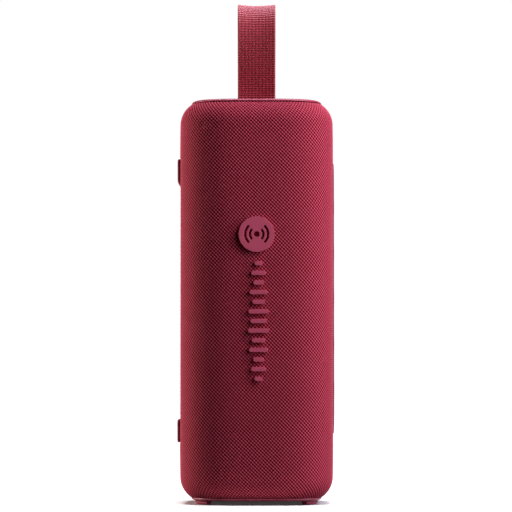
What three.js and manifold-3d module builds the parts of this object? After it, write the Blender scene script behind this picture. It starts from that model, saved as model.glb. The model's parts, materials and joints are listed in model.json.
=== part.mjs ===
// A portable speaker that stands on one end. Millimetres, +Z up, front towards -Y, controls towards +X.
// The origin is on the body's axis, level with the bottom of the end feet.
import * as THREE from "three";
import { mergeVertices } from "three/addons/utils/BufferGeometryUtils.js";
import Module from "manifold-3d";

const wasm = await Module();
wasm.setup();

// ---------- Driving dimensions ----------
const GAP = 0.3; // clearance between pieces that touch

// The body is a tube with a rounded-square section, whose ends are rounded over.
const HALF_WIDTH = 40.5; // along X
const HALF_DEPTH = 38.5; // along Y
const SQUARENESS = 3.5; // exponent of the section's superellipse
const BODY_LOW = 1.3; // where the rounded ends would close
const BODY_HIGH = 212.2;
const EDGE_RADIUS = 10.5; // the tight part of the end rounding
const TAPER_DEPTH = 1.6; // the slow part of it, and how far it reaches
const TAPER_REACH = 29;
const SECTION_POINTS = 28;
// Section heights, measured from each end: for the sleeve, and for what it hides.
const FINE_STEPS = [2.2, 3.8, 6.5, 12, TAPER_REACH];
const COARSE_STEPS = [6.5, 12, TAPER_REACH];

// Layers, as distances in from the sleeve's outer face.
const SLEEVE_THICKNESS = 1.0;
const GRILLE = { out: 1.3, in: 2.8, low: 6.5, high: 206.5 };
const SHELL = { out: 3.1, in: 5.6, low: 12, high: 201.5, endWall: 2.5 };
const SLEEVE = { low: 3.5, high: 210 };
// Slots in the grilles.
const SLOT = { columns: 3, rows: 5, pitchX: 16, pitchZ: 34.5, firstZ: 38, halfX: 6, halfZ: 14 };
const SIDE_CUT = 30; // a cut through a side, front or back wall starts this far from the axis
const FACE_CUT = 26;

const CAP = {
  underside: 2.0, top: 211.4, inset: 5.5, plate: 2.5,
  skirtInset: 6.9, skirtWall: 2, skirtDepth: 6.9,
};
// The cap's rounded rim, as [depth below the face, extra inset], and the depth of the step under it.
const CAP_RIM = [[0, 2.4], [0.2, 1.1], [0.5, 0.4], [1.1, 0]];
const CAP_STEP = 1.1;
const SPLIT_Y = -20; // the plane where the front baffle meets the rear tub
const GASKET_HALF = 0.15; // half of the gasket's thickness

const STRAP = { width: 20, thickness: 1.6, pinZ: 207.9, pinRadius: 1.5, pinHalfLength: 13.8 };
// One side of the strap's teardrop loop, and its top, as [y, height above the bar].
const STRAP_SIDE = [
  [2.7, 5], [3.5, 10], [5.8, 16], [9.0, 22.5], [12.2, 29],
  [14.6, 35.5], [15.5, 42], [13.9, 48.4], [9.4, 52.9], [4.6, 54.6],
];
const STRAP_TOP = [0, 55];
const WELL = { halfX: 12.5, floorZ: 203.8, floorHalfY: 6, mouthHalfY: 17, wall: 2 };

const END_FOOT = { innerX: 24.0, inset: 8.2, height: 1.7 };
const SIDE_PLATE = { low: 31.4, high: 182.5, halfY: 14, outerX: -40.0, innerX: -37.7 };
const SIDE_FOOT = { length: 12.1, halfY: 10.5, outerX: -41.7, lowerZ: 32.2, upperZ: 169.5, taper: 1.1 };

const PANEL = {
  low: 36.7, high: 179.6, halfY: 11, cornerRadius: 9,
  outerX: 40.8, innerX: 39.2, skirtX: 37.7, wall: 1.4,
};
const POCKET = { low: 38.5, high: 178, halfY: 9.8, floorX: 35.0, wall: 2 }; // in the tub, behind the panel
// A button's flange sits behind the panel and bears on a dome switch. Its travel is 0.6.
const BUTTON = { radius: 6.6, crownX: 41.0, backX: 38.3, flangeRadius: 7.8, flange: 0.6, edge: 0.7 };
const BUTTON_NAMES = ["power", "pair", "volume_down", "play", "volume_up"];
const FIRST_BUTTON_Z = 60;
const BUTTON_PITCH = 24;
const BUTTON_BOARD = { low: 41, high: 176, halfY: 8.5, backX: 35.3, faceX: 36.3 };
const SWITCH = { size: 5.2, baseX: 36.6, topX: 37.1, domeRadius: 1.7, domeX: 37.5 };
const LED = { z: 46, radius: 1.2 };
const THROUGH_PANEL = [30, 50];

const BADGE = { radius: 9.25, z: 140.5, thickness: 1.2 };
const MOTIF = { top: 126.5, bottom: 64.5, left: -4.5, right: 6.4, height: 1.1, stroke: 2.3 };
const MOTIF_CARRIER = { halfWidth: 1.2, thickness: 0.35 }; // joins the bars
// Bar lengths as shares of the motif's width: a level meter.
const MOTIF_BARS = [0.4, 0.72, 0.52, 0.9, 0.64, 1.0, 0.78, 0.96, 0.6, 0.86, 0.5, 0.7, 0.38];

const DRIVER_Z = { lower: 62, upper: 154 };
const DRIVER_SEAT_Y = -28.2;
const DRIVER = { flange: 26, throat: 21.6, seatRing: 28.5, seatBackY: -26 };

// Half widths of the radiator's racetrack outlines, from its plate out to its seat in the tub.
const RADIATOR = {
  z: 113, seatY: 29.5, seatBackY: 27, seatHalfZ: 51,
  plate: 15.0, rollInner: 15.3, frameInner: 20.5, hole: 20.8, rollOuter: 22.6, pocket: 24.5, seat: 27,
};

const BAY = { low: 24, high: 42, halfX: 15, rimY: 36.0, floorY: 29.5, wall: 1.6, flange: 2, corner: 2.7 };
const COVER = { clear: 0.4, innerY: 36.3, outerY: 38.4, corner: 2.4 }; // it swings about its lower outer edge
const PLUG = { halfX: 9, low: 30, high: 37, depth: 2.2 }; // behind the cover
// The cover's nail catch, measured down from the bay's upper edge.
const GRIP = { halfX: 4, below: 3, above: 1.8, proud: 0.4 };
const USB = { halfX: 4.5, low: 31.9, high: 35.1, backY: 20.5, mouthY: 29.2, wall: 0.4 };
const MAIN_BOARD = { halfX: 27, backY: 27.2, frontY: -12, low: 30.0, high: 31.6 };
const BOARD_POST = { x: 22, frontY: -8, backY: 22, radius: 2.5 };

const WEB = { frontY: 1.8, backY: 3.8, low: 99, high: 117 }; // across the tub, behind the battery cradle
const LEAD_END_Z = MAIN_BOARD.high + GAP + 0.05;

const CELL = { radius: 9.2, halfLength: 32.4, y: -10, lowerZ: 98.3, upperZ: 117.7 };
const CRADLE = { halfX: 20, depth: 11.5, overlap: 11 };
const LEAD_RADIUS = 0.85;

const SCREW = { headRadius: 2.6, shankRadius: 1.3, headHeight: 1.6 };
const BAFFLE_SCREW = { x: 30, lowZ: 24, highZ: 190, seatY: -24.5, tipY: -10, bossY: -8 };
const CAP_SCREW = { x: 28.5, headLow: 2.2, headHigh: 3.6, tipZ: 18, standoffZ: 3, bossZ: 20 };
const BOSS_RADIUS = 4;
const SCREW_ROOM = SCREW.shankRadius + GAP;
const HEAD_ROOM = SCREW.headRadius + GAP;
const FAR = 80; // past every outline, for cutting blocks

// ---------- Solids from three.js geometry ----------
function toSolid(geometry) {
  geometry.deleteAttribute("normal");
  geometry.deleteAttribute("uv");
  const merged = mergeVertices(geometry, 1e-4);
  const mesh = new wasm.Mesh({
    numProp: 3,
    vertProperties: new Float32Array(merged.attributes.position.array),
    triVerts: new Uint32Array(merged.index.array),
  });
  return new wasm.Manifold(mesh);
}

function toGeometry(solid) {
  const { vertProperties, triVerts } = solid.getMesh();
  const geometry = new THREE.BufferGeometry();
  geometry.setAttribute("position", new THREE.BufferAttribute(vertProperties, 3));
  geometry.setIndex(new THREE.BufferAttribute(triVerts, 1));
  geometry.computeVertexNormals();
  return geometry;
}

const joined = (...solids) => solids.flat().reduce((a, b) => a.add(b));
const cut = (solid, ...tools) => tools.flat().reduce((a, b) => a.subtract(b), solid);

function block([x0, x1], [y0, y1], [z0, z1]) {
  const box = new THREE.BoxGeometry(x1 - x0, y1 - y0, z1 - z0);
  return toSolid(box.translate((x0 + x1) / 2, (y0 + y1) / 2, (z0 + z1) / 2));
}

// A round bar along an axis ("x", "y" or "z"), from one coordinate to another, centred on the other two.
function bar(axis, radius, [from, to], [a, b], sides = 16) {
  const geometry = new THREE.CylinderGeometry(radius, radius, to - from, sides);
  const middle = (from + to) / 2;
  if (axis === "x") geometry.rotateZ(-Math.PI / 2).translate(middle, a, b);
  if (axis === "y") geometry.translate(a, middle, b);
  if (axis === "z") geometry.rotateX(Math.PI / 2).translate(a, b, middle);
  return toSolid(geometry);
}

// A shape drawn in the plane across an axis, extruded along it.
// The shape's own axes are (y, z) for "x", (x, z) for "y" and (x, y) for "z".
function prism(axis, shape, [from, to], curveSegments = 2) {
  const geometry = new THREE.ExtrudeGeometry(shape, { depth: to - from, bevelEnabled: false, curveSegments });
  const frames = {
    x: new THREE.Matrix4().makeBasis(unit(0, 1, 0), unit(0, 0, 1), unit(1, 0, 0)).setPosition(from, 0, 0),
    y: new THREE.Matrix4().makeBasis(unit(1, 0, 0), unit(0, 0, 1), unit(0, -1, 0)).setPosition(0, to, 0),
    z: new THREE.Matrix4().setPosition(0, 0, from),
  };
  return toSolid(geometry.applyMatrix4(frames[axis]));
}

function unit(x, y, z) {
  return new THREE.Vector3(x, y, z);
}

function roundedRect(u0, u1, v0, v1, radius) {
  const shape = new THREE.Shape();
  shape.moveTo(u0 + radius, v0);
  shape.lineTo(u1 - radius, v0);
  shape.absarc(u1 - radius, v0 + radius, radius, -Math.PI / 2, 0);
  shape.lineTo(u1, v1 - radius);
  shape.absarc(u1 - radius, v1 - radius, radius, 0, Math.PI / 2);
  shape.lineTo(u0 + radius, v1);
  shape.absarc(u0 + radius, v1 - radius, radius, Math.PI / 2, Math.PI);
  shape.lineTo(u0, v0 + radius);
  shape.absarc(u0 + radius, v0 + radius, radius, Math.PI, 1.5 * Math.PI);
  return shape;
}

// Revolves a closed outline of [radius, height] points about Z. Either direction round the outline will do.
function revolved(outline, sides = 16) {
  const loop = [...outline, outline[0]];
  const area = loop.slice(1).reduce((sum, [r, h], i) => sum + loop[i][0] * h - r * loop[i][1], 0);
  const ordered = area > 0 ? loop : loop.reverse();
  const points = ordered.map(([r, h]) => new THREE.Vector2(r, h));
  const standing = new THREE.LatheGeometry(points, sides).rotateX(Math.PI / 2);
  return toSolid(standing);
}

// Joins equal rings of points, listed upwards, into a closed body with flat ends.
function loft(rings) {
  const count = rings[0].length;
  const faces = [];
  for (let level = 0; level + 1 < rings.length; level++) {
    for (let i = 0; i < count; i++) {
      const a = level * count + i;
      const b = level * count + ((i + 1) % count);
      faces.push(a, b, b + count, a, b + count, a + count);
    }
  }
  const last = (rings.length - 1) * count;
  for (let i = 1; i + 1 < count; i++) {
    faces.push(0, i + 1, i, last, last + i, last + i + 1);
  }
  const geometry = new THREE.BufferGeometry().setFromPoints(rings.flat());
  geometry.setIndex(faces);
  return toSolid(geometry);
}

// Joins equal rings into a closed loop, the last one back to the first: a tyre-like body.
function ringLoft(rings) {
  const count = rings[0].length;
  const faces = [];
  rings.forEach((_, level) => {
    const next = (level + 1) % rings.length;
    for (let i = 0; i < count; i++) {
      const j = (i + 1) % count;
      const [a, b] = [level * count + i, level * count + j];
      const [c, d] = [next * count + j, next * count + i];
      faces.push(a, b, c, a, c, d);
    }
  });
  const geometry = new THREE.BufferGeometry().setFromPoints(rings.flat());
  geometry.setIndex(faces);
  return toSolid(geometry);
}

// ---------- The body's section and its rounded ends ----------
function sectionRing(inset, z) {
  const ring = [];
  const power = 2 / SQUARENESS;
  for (let i = 0; i < SECTION_POINTS; i++) {
    const angle = (2 * Math.PI * i) / SECTION_POINTS;
    const [c, s] = [Math.cos(angle), Math.sin(angle)];
    const x = (HALF_WIDTH - inset) * Math.sign(c) * Math.abs(c) ** power;
    const y = (HALF_DEPTH - inset) * Math.sign(s) * Math.abs(s) ** power;
    ring.push(unit(x, y, z));
  }
  return ring;
}

// How far the outer face has come in at a height.
function endInset(z) {
  const toEnd = Math.min(z - BODY_LOW, BODY_HIGH - z);
  const rise = Math.max(0, EDGE_RADIUS - toEnd);
  const share = Math.max(0, 1 - toEnd / TAPER_REACH);
  return EDGE_RADIUS - Math.sqrt(EDGE_RADIUS ** 2 - rise ** 2) + TAPER_DEPTH * share ** 2;
}

// A solid slice of the body, some way in from its outer face.
function bodySlice(inset, low, high, steps = COARSE_STEPS) {
  const knots = [...steps.map((d) => BODY_LOW + d), ...steps.map((d) => BODY_HIGH - d)];
  const inside = knots.filter((z) => z > low + 1 && z < high - 1).sort((a, b) => a - b);
  return loft([low, ...inside, high].map((z) => sectionRing(inset + endInset(z), z)));
}

// ---------- Openings that several layers share ----------
function sideWindows() {
  const plate = block([-FAR, -SIDE_CUT], [-SIDE_PLATE.halfY - GAP, SIDE_PLATE.halfY + GAP],
    [SIDE_PLATE.low - GAP, SIDE_PLATE.high + GAP]);
  const edge = PANEL.halfY + GAP;
  const outline = roundedRect(-edge, edge, PANEL.low - GAP, PANEL.high + GAP, PANEL.cornerRadius + GAP);
  return [plate, prism("x", outline, [SIDE_CUT, FAR])];
}

function bayWindow() {
  const edge = BAY.halfX + GAP;
  const outline = roundedRect(-edge, edge, BAY.low - GAP, BAY.high + GAP, BAY.corner + GAP);
  return prism("y", outline, [FACE_CUT + 2, FAR]);
}

// ---------- Sleeve and grilles ----------
function fabricSleeve() {
  const outer = bodySlice(0, SLEEVE.low, SLEEVE.high, FINE_STEPS);
  const inner = bodySlice(SLEEVE_THICKNESS, SLEEVE.low - 0.8, SLEEVE.high + 0.8, FINE_STEPS);
  return cut(outer, inner, sideWindows(), bayWindow());
}

function grilleSlots(faceSign) {
  const y = faceSign > 0 ? [FACE_CUT, FAR] : [-FAR, -FACE_CUT];
  const firstRow = faceSign > 0 ? 1 : 0; // the port bay takes the rear face's lowest row
  const slots = [];
  for (let column = 0; column < SLOT.columns; column++) {
    for (let row = firstRow; row < SLOT.rows; row++) {
      const x = (column - (SLOT.columns - 1) / 2) * SLOT.pitchX;
      const z = SLOT.firstZ + row * SLOT.pitchZ;
      slots.push(block([x - SLOT.halfX, x + SLOT.halfX], y, [z - SLOT.halfZ, z + SLOT.halfZ]));
    }
  }
  return slots;
}

function grille(faceSign) {
  const outer = bodySlice(GRILLE.out, GRILLE.low, GRILLE.high);
  const inner = bodySlice(GRILLE.in, GRILLE.low - 1, GRILLE.high + 1);
  const otherHalf = faceSign > 0 ? [-FAR, GAP / 2] : [-GAP / 2, FAR];
  const away = block([-FAR, FAR], otherHalf, [-FAR, 3 * FAR]);
  return cut(outer, inner, away, sideWindows(), bayWindow(), grilleSlots(faceSign));
}

// ---------- Enclosure ----------
function shellWhole() {
  const outer = bodySlice(SHELL.out, SHELL.low, SHELL.high);
  const inner = bodySlice(SHELL.in, SHELL.low + SHELL.endWall, SHELL.high - SHELL.endWall);
  return { outer, shell: outer.subtract(inner) };
}

function screwPlaces() {
  const { x, lowZ, highZ } = BAFFLE_SCREW;
  return [[-x, lowZ], [x, lowZ], [-x, highZ], [x, highZ]];
}

function frontBaffle() {
  const { outer, shell } = shellWhole();
  const heights = Object.values(DRIVER_Z);
  const seats = heights.map((z) => bar("y", DRIVER.seatRing, [-FAR, DRIVER.seatBackY], [0, z], 20));
  const bosses = screwPlaces().map(([x, z]) => bar("y", BOSS_RADIUS, [-FAR, SPLIT_Y], [x, z], 8));
  const body = joined(shell, joined(seats, bosses).intersect(outer));
  const pockets = heights.map((z) => bar("y", DRIVER.flange + GAP, [-FAR, DRIVER_SEAT_Y], [0, z], 20));
  const throats = heights.map((z) => bar("y", DRIVER.throat + GAP, [-FAR, SPLIT_Y], [0, z], 20));
  const holes = screwPlaces().map(([x, z]) => joined(
    bar("y", SCREW_ROOM, [-FAR, 0], [x, z], 6),
    bar("y", HEAD_ROOM, [-FAR, BAFFLE_SCREW.seatY], [x, z], 8)));
  const behind = block([-FAR, FAR], [SPLIT_Y - GASKET_HALF - GAP, FAR], [-FAR, 3 * FAR]);
  return cut(body, behind, pockets, throats, holes);
}

function radiatorOutline(halfX) {
  const halfZ = halfX + RADIATOR.seatHalfZ - RADIATOR.seat;
  return roundedRect(-halfX, halfX, RADIATOR.z - halfZ, RADIATOR.z + halfZ, halfX * 0.9);
}

function boardPosts() {
  const { x, frontY, backY, radius } = BOARD_POST;
  const places = [[-x, frontY], [x, frontY], [-x, backY], [x, backY]];
  return places.map((place) => bar("z", radius, [SHELL.low + 1, MAIN_BOARD.low - GAP], place, 6));
}

function rearTub() {
  const { outer, shell } = shellWhole();
  const inFront = block([-FAR, FAR], [-FAR, SPLIT_Y + GASKET_HALF + GAP], [-FAR, 3 * FAR]);
  return cut(joined(shell, tubInnerParts().intersect(outer)), inFront, tubHoles());
}

function tubInnerParts() {
  const { halfY, low, high, floorX, wall } = POCKET;
  return joined(
    prism("y", radiatorOutline(RADIATOR.seat), [RADIATOR.seatBackY, FAR]),
    block([floorX - wall, FAR], [-halfY - wall, halfY + wall], [low - wall, high + wall]),
    screwPlaces().map(([x, z]) => bar("y", BOSS_RADIUS, [SPLIT_Y, BAFFLE_SCREW.bossY], [x, z], 8)),
    capScrewPlaces().map((place) => bar("z", BOSS_RADIUS, [SHELL.low, CAP_SCREW.bossZ], place, 8)),
    boardPosts(),
    block([-FAR, FAR], [WEB.frontY, WEB.backY], [WEB.low, WEB.high]));
}

function capScrewPlaces() {
  return [[-CAP_SCREW.x, 0], [CAP_SCREW.x, 0]];
}

function tubHoles() {
  const { halfY, low, high, floorX } = POCKET;
  const bayHalfX = BAY.halfX - BAY.flange + GAP;
  const bayZ = [BAY.low + BAY.flange - GAP, BAY.high - BAY.flange + GAP];
  return [
    block([floorX, FAR], [-halfY, halfY], [low, high]),
    block([SIDE_CUT, FAR], [-2, 2], [low, BUTTON_BOARD.low - 0.4]), // the button lead's way in
    prism("y", radiatorOutline(RADIATOR.pocket), [RADIATOR.seatY, FAR]),
    prism("y", radiatorOutline(RADIATOR.hole), [0, FAR]),
    block([-bayHalfX, bayHalfX], [FACE_CUT, FAR], bayZ),
    screwPlaces().map(([x, z]) => bar("y", SCREW_ROOM, [-FAR, BAFFLE_SCREW.tipY + 0.5], [x, z], 6)),
    capScrewPlaces().map((place) => bar("z", SCREW_ROOM, [0, CAP_SCREW.tipZ + 1], place, 6)),
  ].flat();
}

function baffleGasket() {
  const outer = bodySlice(SHELL.out + 0.4, SHELL.low + 0.4, SHELL.high - 0.4);
  const inner = bodySlice(SHELL.in - 0.3, SHELL.low + 2.2, SHELL.high - 2.2);
  const plane = block([-FAR, FAR], [SPLIT_Y - GASKET_HALF, SPLIT_Y + GASKET_HALF], [-FAR, 3 * FAR]);
  return outer.subtract(inner).intersect(plane);
}

// ---------- End caps ----------
// A cap without its hollow: the rim, rounded over from the flat face, and the skirt under its step.
function capSolid(faceZ, towardsBody) {
  const rings = CAP_RIM.map(([depth, extra]) => sectionRing(CAP.inset + extra, faceZ + depth * towardsBody));
  rings.push(sectionRing(CAP.skirtInset, faceZ + CAP_STEP * towardsBody));
  rings.push(sectionRing(CAP.skirtInset, faceZ + (CAP_STEP + CAP.skirtDepth) * towardsBody));
  return loft(towardsBody > 0 ? rings : rings.reverse());
}

function capHollow(faceZ, towardsBody) {
  const inset = CAP.skirtInset + CAP.skirtWall;
  const depths = [CAP.plate, 12].map((depth) => faceZ + depth * towardsBody);
  return loft(depths.sort((a, b) => a - b).map((z) => sectionRing(inset, z)));
}

// The scoop under the strap's bar, wider at its mouth so that the strap can lean over.
function strapWell(grow) {
  const ring = (z, halfY) => [[1, -1], [1, 1], [-1, 1], [-1, -1]].map(([sx, sy]) =>
    unit(sx * (WELL.halfX + grow), sy * (halfY + grow), z));
  const slope = (WELL.mouthHalfY - WELL.floorHalfY) / (CAP.top - WELL.floorZ);
  const above = 0.5;
  const low = WELL.floorZ - grow;
  return loft([ring(low, WELL.floorHalfY), ring(CAP.top + above, WELL.mouthHalfY + above * slope)]);
}

function topEndCap() {
  const body = cut(capSolid(CAP.top, -1), capHollow(CAP.top, -1));
  const underTop = block([-FAR, FAR], [-FAR, FAR], [0, CAP.top - 1]);
  const well = strapWell(WELL.wall).intersect(underTop);
  const pinEnd = STRAP.pinHalfLength + GAP;
  const pinHole = bar("x", STRAP.pinRadius + GAP, [-pinEnd, pinEnd], [0, STRAP.pinZ], 16);
  return cut(joined(body, well), strapWell(0), pinHole);
}

function bottomEndCap() {
  const { standoffZ, headHigh } = CAP_SCREW;
  const standoffRange = [standoffZ, SHELL.low - GAP];
  const standoffs = capScrewPlaces().map((place) => bar("z", BOSS_RADIUS, standoffRange, place, 8));
  const hollow = capHollow(CAP.underside, 1);
  const body = joined(cut(capSolid(CAP.underside, 1), hollow), standoffs);
  const holes = capScrewPlaces().map((place) => joined(
    bar("z", SCREW_ROOM, [0, SHELL.low], place, 6),
    bar("z", HEAD_ROOM, [0, headHigh + GAP], place, 8)));
  return cut(body, holes);
}

// ---------- Strap ----------
// The loop's centreline: round the bar, up one side, over the top and down the other.
function strapCentreline() {
  const wrap = STRAP.pinRadius + GAP + STRAP.thickness / 2;
  const roundBar = [[0, -wrap], [wrap * 0.72, -wrap * 0.7], [wrap, 0.3]];
  const half = [...roundBar, ...STRAP_SIDE];
  const mirrored = half.slice(1).reverse().map(([y, z]) => [-y, z]);
  return [...half, STRAP_TOP, ...mirrored].map(([y, z]) => unit(0, y, z));
}

function carryStrap() {
  const curve = new THREE.CatmullRomCurve3(strapCentreline(), true, "centripetal");
  const steps = 48;
  const edge = (offset) => Array.from({ length: steps }, (_, i) => {
    const point = curve.getPointAt(i / steps);
    const along = curve.getTangentAt(i / steps);
    return new THREE.Vector2(point.y + along.z * offset, point.z - along.y * offset);
  });
  const shape = new THREE.Shape(edge(STRAP.thickness / 2));
  shape.holes.push(new THREE.Path(edge(-STRAP.thickness / 2)));
  return prism("x", shape, [-STRAP.width / 2, STRAP.width / 2]);
}

// ---------- Feet and side plate ----------
function endFoot(side) {
  const full = loft([0, END_FOOT.height].map((z) => sectionRing(END_FOOT.inset, z)));
  const outboard = block(side > 0 ? [END_FOOT.innerX, FAR] : [-FAR, -END_FOOT.innerX], [-FAR, FAR], [-1, 5]);
  return full.intersect(outboard);
}

function sideFootPlate() {
  const { low, high, halfY, outerX, innerX } = SIDE_PLATE;
  return prism("x", roundedRect(-halfY, halfY, low, high, 2), [outerX, innerX]);
}

// A pad with slanted edges, drawn as if its underside were at x = 0 and its lower edge at z = 0.
function sideFoot() {
  const { length, halfY, taper } = SIDE_FOOT;
  const rise = SIDE_PLATE.outerX - GAP - SIDE_FOOT.outerX;
  const ring = (x, inset) => [[-halfY + inset, inset], [-halfY + inset, length - inset],
    [halfY - inset, length - inset], [halfY - inset, inset]].map(([y, z]) => unit(x, y, z));
  return loft([ring(-rise, taper), ring(0, 0)].map((r) => r.map((p) => unit(p.z, p.y, p.x))))
    .rotate([0, 90, 0]);
}

// ---------- Control strip ----------
function controlPanel() {
  const { low, high, halfY, outerX, innerX, skirtX, cornerRadius, wall } = PANEL;
  const slab = prism("x", roundedRect(-halfY, halfY, low, high, cornerRadius), [skirtX, outerX]);
  const edge = halfY - wall;
  const room = roundedRect(-edge, edge, low + wall, high - wall, cornerRadius - wall);
  const hollow = prism("x", room, [skirtX - 1, innerX]);
  const holes = BUTTON_NAMES.map((_, i) => bar("x", BUTTON.radius + GAP, THROUGH_PANEL, [0, buttonZ(i)]));
  const ledHole = bar("x", LED.radius + GAP, THROUGH_PANEL, [0, LED.z], 12);
  return cut(slab, hollow, holes, ledHole);
}

function buttonZ(index) {
  return FIRST_BUTTON_Z + index * BUTTON_PITCH;
}

// A button, drawn about its own centre with its crown towards +Z.
function button() {
  const depth = BUTTON.crownX - BUTTON.backX;
  const { radius, flangeRadius, flange, edge } = BUTTON;
  const crown = [[0, depth], [radius - edge - 0.2, depth - 0.15], [radius, depth - edge]];
  const back = [[radius, flange], [flangeRadius, flange], [flangeRadius, 0], [0, 0]];
  return revolved([...crown, ...back]);
}

function buttonBoard() {
  const { low, high, halfY, backX, faceX } = BUTTON_BOARD;
  return block([backX, faceX], [-halfY, halfY], [low, high]);
}

function domeSwitch() {
  const half = SWITCH.size / 2;
  const base = block([0, SWITCH.topX - SWITCH.baseX], [-half, half], [-half, half]);
  return base.add(bar("x", SWITCH.domeRadius, [0.2, SWITCH.domeX - SWITCH.baseX], [0, 0], 12));
}

function ledLens() {
  return bar("x", LED.radius, [BUTTON_BOARD.faceX + GAP, PANEL.outerX], [0, LED.z], 12);
}

// ---------- Badge and motif ----------
function badgeDisc() {
  const { radius, thickness } = BADGE;
  const edge = 0.3;
  const rim = [[radius, 0], [radius, thickness - edge], [radius - edge, thickness]];
  return revolved([[0, 0], ...rim, [0, thickness]], 28);
}

function motif() {
  const { top, bottom, left, right, height, stroke } = MOTIF;
  const { halfWidth, thickness } = MOTIF_CARRIER;
  const middle = (left + right) / 2;
  const pitch = (top - bottom - stroke) / (MOTIF_BARS.length - 1);
  const front = -HALF_DEPTH - GAP;
  const carrier = block([middle - halfWidth, middle + halfWidth], [front - thickness, front], [bottom, top]);
  const bars = MOTIF_BARS.map((share, i) => {
    const half = Math.max(stroke, share * (right - left)) / 2;
    const z = bottom + i * pitch;
    return block([middle - half, middle + half], [front - height, front], [z, z + stroke]);
  });
  return joined(carrier, bars);
}

// ---------- Drivers, drawn with the seat at z = 0 and the front towards +Z ----------
function driverFrame() {
  const flange = [[DRIVER.flange, 0.3], [DRIVER.flange, 2.3], [20.4, 2.3], [20.4, 1.0]];
  const basket = [[13.6, -12.9], [9.5, -12.9], [9.5, -14.2], [14.6, -14.2], [DRIVER.throat, 0.3]];
  const windows = block([-6, 6], [-FAR, FAR], [-10, -4]);
  return cut(revolved([...flange, ...basket], 20), windows);
}

// A ring magnet between plates, with the pole piece standing in its annular gap.
function driverMagnet() {
  const outside = [[0, -28.2], [15, -28.2], [16, -27.2], [16, -15.5], [15, -14.5]];
  const gapAndPole = [[9.2, -14.5], [9.2, -22], [6.6, -22], [6.6, -14], [0, -14]];
  return revolved([...outside, ...gapAndPole]);
}

// Paper cone, dust cap and voice-coil former in one.
function driverCone() {
  const former = [[0, -3.2], [7.2, -5.9], [7.2, -17], [8, -17], [8, -6.8]];
  const coneEdge = [[18.6, 1.2], [18.6, 2.0], [17.8, 2.0]];
  const dustCap = [[8.6, -5.0], [6, -3.2], [3, -2.3], [0, -2.1]];
  return revolved([...former, ...coneEdge, ...dustCap]);
}

// A half roll between two radii, as a closed outline.
function halfRoll(innerR, outerR, base, rise, thickness, steps = 3) {
  const arc = (shrink) => Array.from({ length: steps + 1 }, (_, i) => {
    const angle = Math.PI * (1 - i / steps);
    const [middle, half] = [(innerR + outerR) / 2, (outerR - innerR) / 2 - shrink];
    return [middle + half * Math.cos(angle), base + (rise - shrink) * Math.sin(angle)];
  });
  return [...arc(0), ...arc(thickness).reverse()];
}

function driverSurround() {
  return revolved(halfRoll(18.95, 23.6, 2.6, 2.3, 0.7), 20);
}

// ---------- Passive radiator ----------
function racetrackRing(halfX, y) {
  const points = radiatorOutline(halfX).getPoints(2);
  return points.slice(0, -1).map((p) => unit(p.x, y, p.y));
}

function radiatorFrame() {
  const { seatY, pocket, frameInner } = RADIATOR;
  const plate = prism("y", radiatorOutline(pocket - GAP), [seatY + GAP, seatY + 1.8]);
  return cut(plate, prism("y", radiatorOutline(frameInner), [0, FAR]));
}

function radiatorSurround() {
  const outline = halfRoll(RADIATOR.rollInner, RADIATOR.rollOuter, RADIATOR.seatY + 2.1, 2.2, 0.8);
  return ringLoft(outline.map(([halfX, y]) => racetrackRing(halfX, y)));
}

function radiatorPlate() {
  return prism("y", radiatorOutline(RADIATOR.plate), [RADIATOR.seatY + 1.6, RADIATOR.seatY + 3.4]);
}

// ---------- Port bay, cover and connector ----------
function portBay() {
  const { low, high, halfX, rimY, floorY, wall, flange, corner } = BAY;
  const rim = prism("y", roundedRect(-halfX, halfX, low, high, corner), [rimY - 0.6, rimY]);
  const cup = (inset, y) => block([-halfX + inset, halfX - inset], y, [low + inset, high - inset]);
  const body = cup(flange, [floorY - wall, rimY]);
  const inside = cup(flange + wall, [floorY, FAR]);
  const usbHole = block([-USB.halfX - GAP, USB.halfX + GAP], [0, FAR], [USB.low - GAP, USB.high + GAP]);
  return cut(joined(rim, body), inside, usbHole);
}

function portCover() {
  const { clear, innerY, outerY, corner } = COVER;
  const halfX = BAY.halfX - clear;
  const outline = roundedRect(-halfX, halfX, BAY.low + clear, BAY.high - clear, corner);
  const face = prism("y", outline, [innerY, outerY]);
  const plug = block([-PLUG.halfX, PLUG.halfX], [innerY - PLUG.depth, innerY], [PLUG.low, PLUG.high]);
  const gripZ = [BAY.high - GRIP.below, BAY.high - GRIP.above];
  const grip = block([-GRIP.halfX, GRIP.halfX], [outerY - GRIP.proud, outerY + GRIP.proud], gripZ);
  return joined(face, plug, grip);
}

function usbConnector() {
  const { halfX, low, high, backY, mouthY, wall } = USB;
  const outline = (inset) =>
    roundedRect(-halfX + inset, halfX - inset, low + inset, high - inset, 1.5 - inset);
  const shell = prism("y", outline(0), [backY, mouthY]);
  const mouth = prism("y", outline(wall), [backY + 1, FAR]);
  const middle = (low + high) / 2;
  const tongue = block([-3.3, 3.3], [backY + 0.5, mouthY - 0.6], [middle - 0.35, middle + 0.35]);
  return joined(cut(shell, mouth), tongue);
}

function mainBoard() {
  const { halfX, frontY, backY, low, high } = MAIN_BOARD;
  // x, y, width, depth and height of each part on the board
  const chips = [[-14, 4, 9, 9, 1.2], [8, 2, 7, 7, 1.0], [17, 14, 6, 8, 2.6], [-18, 16, 7, 5, 1.8]];
  const parts = chips.map(([x, y, w, d, h]) =>
    block([x - w / 2, x + w / 2], [y - d / 2, y + d / 2], [high - 0.2, high + h]));
  return joined(block([-halfX, halfX], [frontY, backY], [low, high]), parts);
}

// ---------- Battery ----------
function batteryCell() {
  const { radius, halfLength } = CELL;
  const shoulder = halfLength - 0.8;
  const can = [[0, -halfLength], [radius, -halfLength], [radius, halfLength - 1.4], [radius - 0.8, shoulder]];
  const positiveEnd = [[3, shoulder], [3, halfLength], [0, halfLength]];
  return revolved([...can, ...positiveEnd], 20);
}

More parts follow.
